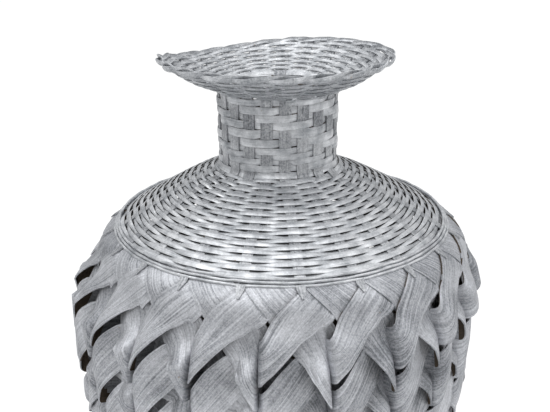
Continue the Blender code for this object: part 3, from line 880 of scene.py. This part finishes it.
    def form(self, place: Array, height: Array, lean: Side, right_over: Array) -> tuple[Array, Array, Array]:
        """Form of a leg, puffed out like a leaf if it leans left, tucked in on the right if it leans right.

        Args:
            place: places around the vase.
            height: heights above the border.
            lean: which way the leg goes.
            right_over: 1 where the leg that leans right passes over the other, 0 where it passes under.

        Returns:
            Distance out of the ridge where the coat is flat and where it is pleated, and the droop.
        """
        past, angle = place - np.floor(place), stake_angle(place)
        depth, swell = table(height, self.pleat), table(height, self.swell)
        if lean is Side.LEFT:
            right = side_share(angle, Side.RIGHT, 0.05, 0.6)
            left = side_share(angle, Side.LEFT, 0.1, 0.6)
            shaped = table(past, self.left_leaf)
            shaped = shaped * np.where(shaped > 0.0, swell, depth)
            shaped = np.maximum(shaped, self.deepest + self.right_shallower * right)
            droop = table(past, self.left_droop) * depth * self.fade_back(left)
            return self.under * right_over, shaped, droop
        shaped = table(past, self.right_leg)
        tucked = 1.0 - self.right_tuck * side_share(angle, Side.RIGHT, 0.2, 0.7)
        shaped = shaped * np.where(shaped > 0.0, swell * tucked, depth)
        shaped = self.pleat_under * (1.0 - right_over) + shaped * right_over
        return self.under * (1.0 - right_over), shaped, table(past, self.right_droop) * depth

    def leg(self, fold_place: float, lean: Side, seed: int) -> tuple[Array, Array]:
        """Points and lengths of one leg from the top down.

        Args:
            fold_place: place of the strip's fold, counted in stakes.
            lean: which way the leg goes.
            seed: number that names the strip's own unevenness.

        Returns:
            The points in metres, and the lengths for the grain.
        """
        centre = self.centre_places(fold_place, lean)
        middle_tier = self.tiers - 2.0 * lean.value * (fold_place - centre)
        across = columns_across(self.columns, self.half_span)
        low, high = self.upright_tiers
        upright = np.clip(np.minimum(middle_tier - low, high - middle_tier) / self.upright_ease, 0.0, 1.0)
        place = centre + across * (1.0 - upright)
        tier = middle_tier - 2.0 * lean.value * across * upright
        own_tier = tier + lean.value * across * self.cross_slope
        tier = tier - 2.0 * lean.value * upright * self.edge_shift(self.height_of(tier), across, place, lean)
        height = self.height_of(tier)
        depth = table(height, self.pleat)
        right_over = 1.0 - smoothstep(np.abs(own_tier - 2.0 * np.rint(own_tier / 2.0)), 0.36, 0.62)
        flat, shaped, droop = self.form(place, height, lean, right_over)
        shingle = self.tilt * (tier - middle_tier) * upright
        out = flat * (1.0 - depth) + (shaped + shingle) * depth
        radius = table(height, self.ridge) + out - self.cup * bulge(across, self.half_span)
        angle = stake_angle(place + self.sway(middle_tier, across, seed))
        radius = np.minimum(radius + side_reach(height, angle), self.widest)
        points = space(radius, angle, BORDER_HEIGHT + (height + side_sag(height, angle) - droop))
        along = tier * self.grain_tier + lean.value * across * self.grain_across[0]
        lengths = grain_lengths(along + seed * self.grain_apart[0],
                                across * self.grain_across[1] + seed * self.grain_apart[1])
        return points, lengths

    def fade_back(self, front: Array) -> Array:
        """Share that is whole where front is 1 and small where it is 0."""
        return self.back_share + (1.0 - self.back_share) * front

    def edge_shift(self, height: Array, across: Array, place: Array, lean: Side) -> Array:
        """Sideways shift of a strip between its two edges, less at the vase's back.

        Args:
            height: heights above the border.
            across: places across the strip.
            place: places around the vase.
            lean: which way the leg goes.

        Returns:
            The shift as a part of the stake spacing.
        """
        edges = self.left_leg_edges if lean is Side.LEFT else self.right_leg_edges
        left, right = (table(height, [(row[0], row[edge]) for row in edges]) for edge in (1, 2))
        share = 0.5 + 0.5 * across / self.half_span
        front = smoothstep(np.cos(stake_angle(place)), -0.4, 0.3)
        return (left * (1.0 - share) + right * share) * self.fade_back(front)

    def sway(self, middle_tier: Array, across: Array, seed: int) -> Array:
        """Unevenness of a strip's path and width, as a part of the stake spacing, none at its fold."""
        path, breadth = wander(middle_tier / 3.0, seed), wander(middle_tier / 4.0, seed + 500)
        ease = smoothstep(self.tiers - middle_tier, 0.3, 2.0)
        return (self.path_sway * path + self.width_sway * across * breadth) * ease

    def strip(self, index: int) -> Object:
        """One broad strip: down leaning right, folded at the foot and up leaning left.

        Args:
            index: the strip's number from the front.

        Returns:
            The strip.
        """
        down, down_lengths = self.leg(index + 0.5, Side.RIGHT, 2 * index)
        up, up_lengths = self.leg(index + 0.5, Side.LEFT, 2 * index + 1)
        points = np.concatenate([down, up[-2::-1]], axis=0)
        lengths = np.concatenate([down_lengths, up_lengths[-2::-1]], axis=0)
        return lay_strip(f"split_strip_{index + 1:02d}", points, lengths, self.thickness, 40.0)

    def build(self, finishes: Finishes) -> None:
        """Lay each strip and seat it."""
        for index in range(STAKES):
            node = f"broad_strip_{index + 1:02d}"
            seat(self.strip(index), finishes.broad, "silver_strip", node, bare=finishes.bare)


# Borders, base and foot

def shape_ring(name: str, segments: int, sides: int, outline: Outline) -> Object:
    """Ring that starts as a torus and takes its section from an outline.

    Args:
        name: the piece's name.
        segments: steps around the vase.
        sides: steps around the section.
        outline: gives radius and height in millimetres from the angles around the vase and the section.

    Returns:
        The ring.
    """
    bpy.ops.mesh.primitive_torus_add(major_segments=segments, minor_segments=sides, major_radius=1.0,
                                     minor_radius=0.25)
    piece, mesh = name_new_piece(name)
    flat = read_vectors(mesh.vertices, "co")
    around = np.arctan2(flat[:, 0], -flat[:, 1])
    section = np.arctan2(flat[:, 2], np.hypot(flat[:, 0], flat[:, 1]) - 1.0)
    radius, height = outline(around, section)
    mesh.vertices.foreach_set("co", space(radius, around, height).ravel())
    write_grain(mesh, grain_lengths(around * radius, section * GRAIN_ROUND))
    mesh.update()
    finish_new_piece(50.0)
    return piece


@dataclass
class Borders:
    """The plaited lip of the rim and the thin canes that end the shoulder."""

    lip_radius: float = 76.4
    lip_height: float = 313.9
    lip_width: float = 3.9
    lip_thickness: float = 0.8
    lip_swing: float = 1.9
    lip_slope: float = 58.0
    lip_bow: float = 0.5
    lip_steps: int = 14
    lip_step_grain: float = 22.9
    lip_wave_radius: float = 77.0
    cane_count: int = 3
    cane_radius: float = 0.95
    cane_ring_radius: float = 121.3
    cane_base: float = 0.6
    cane_rise: float = 1.75
    cane_inset: float = 1.5

    def lip(self) -> Object:
        """One flat strip that goes twice round the mouth, out past one stake and in past the next."""
        total = 2 * STAKES
        place = np.linspace(0.0, total - 0.02, total * self.lip_steps)[:, None]
        angle = stake_angle(place)
        across = columns_across(7)
        outside = np.clip(np.cos(math.pi * place) + 0.25 * wander(place / 2.0, 71), -1.0, 1.0)
        width = self.lip_width * (0.8 + 0.36 * np.maximum(outside, 0.0) + 0.08 * wander(place / 1.7, 73))
        slope = math.radians(self.lip_slope)
        bow = self.lip_bow * bulge(across)
        twist = np.sin(math.pi * place) + 0.5 * wander(place / 1.4, 74)
        radius = self.lip_radius + self.lip_swing * outside + across * width * math.cos(slope)
        radius = rim_reach(radius, angle) + bow * math.sin(slope)
        height = self.lip_height + twist - 0.5 * outside + across * width * math.sin(slope)
        height = height - bow * math.cos(slope) + rim_lift(self.lip_wave_radius, angle)
        lengths = grain_lengths(place * self.lip_step_grain, across * width)
        return lay_strip("plaited_rim_lip", space(radius, angle, height), lengths, self.lip_thickness, 60.0)

    def cane_outline(self, around: Array, section: Array, number: int) -> tuple[Array, Array]:
        """Skin of one of the round canes that lie along the shoulder's last row.

        Args:
            around: angles around the vase.
            section: angles around the cane.
            number: the cane's number from the lowest.

        Returns:
            Radius and height.
        """
        cane = self.cane_radius * (1.0 + 0.12 * wander(around * 4.0, 80 + number))
        middle = self.cane_base + self.cane_rise * number + 0.8 * wander(around * 2.5, 72 + number)
        radius = self.cane_ring_radius - self.cane_inset * number + side_reach(middle, around)
        height = BORDER_HEIGHT + middle + side_sag(middle, around)
        return radius + cane * np.cos(section), height + cane * np.sin(section)

    def build(self, finishes: Finishes) -> None:
        """Lay the lip and shape the canes, and seat them."""
        # The lip takes the rim's lacquer, darkened with painted shade
        seat(self.lip(), finishes.rim, "silver_weaver", "rim_border")
        for number in range(self.cane_count):
            outline = partial(self.cane_outline, number=number)
            cane = shape_ring(f"shoulder_cane_{number + 1}", STAKES * 10, 8, outline)
            seat(cane, finishes.weft, "silver_weaver", "shoulder_border")


@dataclass
class Foot:
    """The base panel and the ring that the vase stands on."""

    ring_radius: float = 107.0
    ring_width: float = 18.0
    ring_height: float = 5.0
    edge_power: float = 0.25

    def ring_outline(self, _: Array, section: Array) -> tuple[Array, Array]:
        """Radius and height of the foot ring's skin, flat above and below with eased edges."""
        ways = np.stack([np.cos(section), np.sin(section)])
        across, up = np.sign(ways) * np.abs(ways) ** self.edge_power
        return self.ring_radius + self.ring_width / 2.0 * across, self.ring_height / 2.0 * (1.0 + up)

    def build(self, material: Material) -> None:
        """Shape the foot ring and dress the base panel's CAD node.

        Args:
            material: the finish of both.
        """
        ring = shape_ring("bamboo_foot_ring", STAKES * 8, 24, self.ring_outline)
        seat(ring, material, "silver_stake", "foot_ring")
        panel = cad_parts["base_panel"]
        panel.data.materials.clear()
        panel.data.materials.append(material)


# Studio

@dataclass(frozen=True)
class Studio:
    """White floor, soft light and the camera at the photograph's place."""

    camera_place: tuple[float, float, float] = (-0.0019, -0.5565, 0.4141)
    camera_pitch: float = 69.59
    lens: float = 53.5
    aim: tuple[float, float, float] = (0.0, 0.0, 0.2)
    floor_size: float = 14.0
    floor_shown: float = 0.86
    floor_glow: float = 1.1

    def build(self) -> None:
        """Set floor, world, lamps and camera."""
        self.floor()
        self.world()
        self.lamp("key_softbox", (-0.3, -0.2, 1.3), 1.5, 11.5)
        self.lamp("fill_softbox", (0.9, -0.3, 0.75), 0.8, 2.5)
        self.camera()

    def floor(self) -> None:
        """Wide white floor that shows white and keeps a soft shadow."""
        bpy.ops.mesh.primitive_plane_add(size=self.floor_size)
        floor = bpy.context.active_object
        floor.name = "floor"
        material, tree, _ = new_material("white_paper_floor")
        tree.nodes.clear()
        path = add_node(tree, "LightPath")
        share = add_node(tree, "Math", {1: self.floor_shown}, {0: path.outputs["Is Camera Ray"]},
                         operation="MULTIPLY")
        paper = add_node(tree, "BsdfDiffuse", {"Color": (0.85, 0.85, 0.85, 1.0)})
        glow = add_node(tree, "Emission", {"Color": WHITE, "Strength": self.floor_glow})
        mixed = add_node(tree, "MixShader", None,
                         {0: share.outputs[0], 1: paper.outputs[0], 2: glow.outputs[0]})
        add_node(tree, "OutputMaterial", None, {"Surface": mixed.outputs[0]})
        floor.data.materials.append(material)

    def world(self) -> None:
        """Even light from all round, white where it is seen."""
        world = bpy.data.worlds.new("white_room")
        bpy.context.scene.world = world
        world.use_nodes = True
        tree = world.node_tree
        tree.nodes.clear()
        path = add_node(tree, "LightPath")
        place = add_node(tree, "TexCoord")
        parts = add_node(tree, "SeparateXYZ", None, {"Vector": place.outputs["Generated"]})
        room = map_range(tree, parts.outputs["Z"],
                         {"From Min": -0.2, "From Max": 0.9, "To Min": 0.12, "To Max": 1.03})
        strength = add_node(tree, "Mix", {3: 1.0}, {0: path.outputs["Is Camera Ray"], 2: room},
                            data_type="FLOAT")
        light = add_node(tree, "Background", {"Color": WHITE}, {"Strength": strength.outputs[0]})
        add_node(tree, "OutputWorld", None, {"Surface": light.outputs[0]})

    def lamp(self, name: str, place: tuple[float, float, float], size: float, power: float) -> None:
        """Square softbox aimed at the vase.

        Args:
            name: the lamp's name.
            place: where it hangs, in metres.
            size: its side in metres.
            power: its power in watts.
        """
        data = bpy.data.lights.new(name, "AREA")
        data.size = size
        data.energy = power
        lamp = bpy.data.objects.new(name, data)
        bpy.context.scene.collection.objects.link(lamp)
        lamp.location = place
        lamp.rotation_euler = (Vector(self.aim) - Vector(place)).to_track_quat("-Z", "Y").to_euler()

    def camera(self) -> None:
        """Camera fitted to the photograph's outlines."""
        data = bpy.data.cameras.new("photo_camera")
        data.lens = self.lens
        data.sensor_width = 36.0
        data.clip_start = 0.01
        camera = bpy.data.objects.new("photo_camera", data)
        bpy.context.scene.collection.objects.link(camera)
        camera.location = self.camera_place
        camera.rotation_euler = (math.radians(self.camera_pitch), 0.0, 0.0)
        bpy.context.scene.camera = camera


def even_rows(start: float, low_run: float, high_run: float, rows: int) -> Rows:
    """Rows of one pitch up to a number of turns, after a first turn that starts below them."""
    return ((0.0, start), (1.0, low_run), (float(rows), high_run))


def woven_bands() -> list[WovenBand]:
    """The four weavers, each ending where the next begins."""
    at = WALL.run_at
    neck_rows = (239.6, 243.5, 248.5, 252.9, 256.7, 260.5, 265.9, 271.9, 277.7, 282.5, 287.8, 293.3, 296.6)
    shoulder_rows = even_rows(at(BORDER_HEIGHT + 0.6), at(BORDER_HEIGHT + 3.2), at(NECK_BASE), 27)
    return [
        WovenBand("cane_rim_weaver", "rim_weaver", Weave.PLAIN, even_rows(at(294.6), at(297.6), 1.6, 12),
                  (1.25, 1.25), 1.0, lift=0.95, matt_and_shaded=True, grip=(1.2, 1.1), seed=11),
        WovenBand("cane_neck_weaver", "neck_weaver", Weave.TWILL, tuple(enumerate(map(at, neck_rows))),
                  (0.97, 0.97), 0.92, thickness=0.7, lift=0.95, crown=0.28, grip=(3.0, 3.0), seed=21),
        WovenBand("cane_shoulder_weaver", "shoulder_weaver", Weave.PLAIN, shoulder_rows, (1.14, 1.27), 0.88,
                  lift=0.95, crown=0.34, steps=8, loose_sides=0.27, grip=(1.9, 1.6), seed=31),
        WovenBand("cane_inner_weaver", "inner_weaver", Weave.PLAIN,
                  even_rows(at(14.0), at(24.0), at(182.0), 12), (0.42, 0.42), 0.42, crown=0.3, seed=41)]


def main() -> None:
    """Build the vase and its studio."""
    logging.basicConfig(level=logging.INFO, format="%(message)s")
    bpy.context.scene.view_settings.view_transform = "Standard"
    finishes = Finishes.make()
    StakeSet().build(finishes)
    for band in woven_bands():
        band.build(finishes)
    PlaitedCoat().build(finishes)
    Borders().build(finishes)
    Foot().build(finishes.foot)
    Studio().build()


if __name__ == "__main__":
    main()
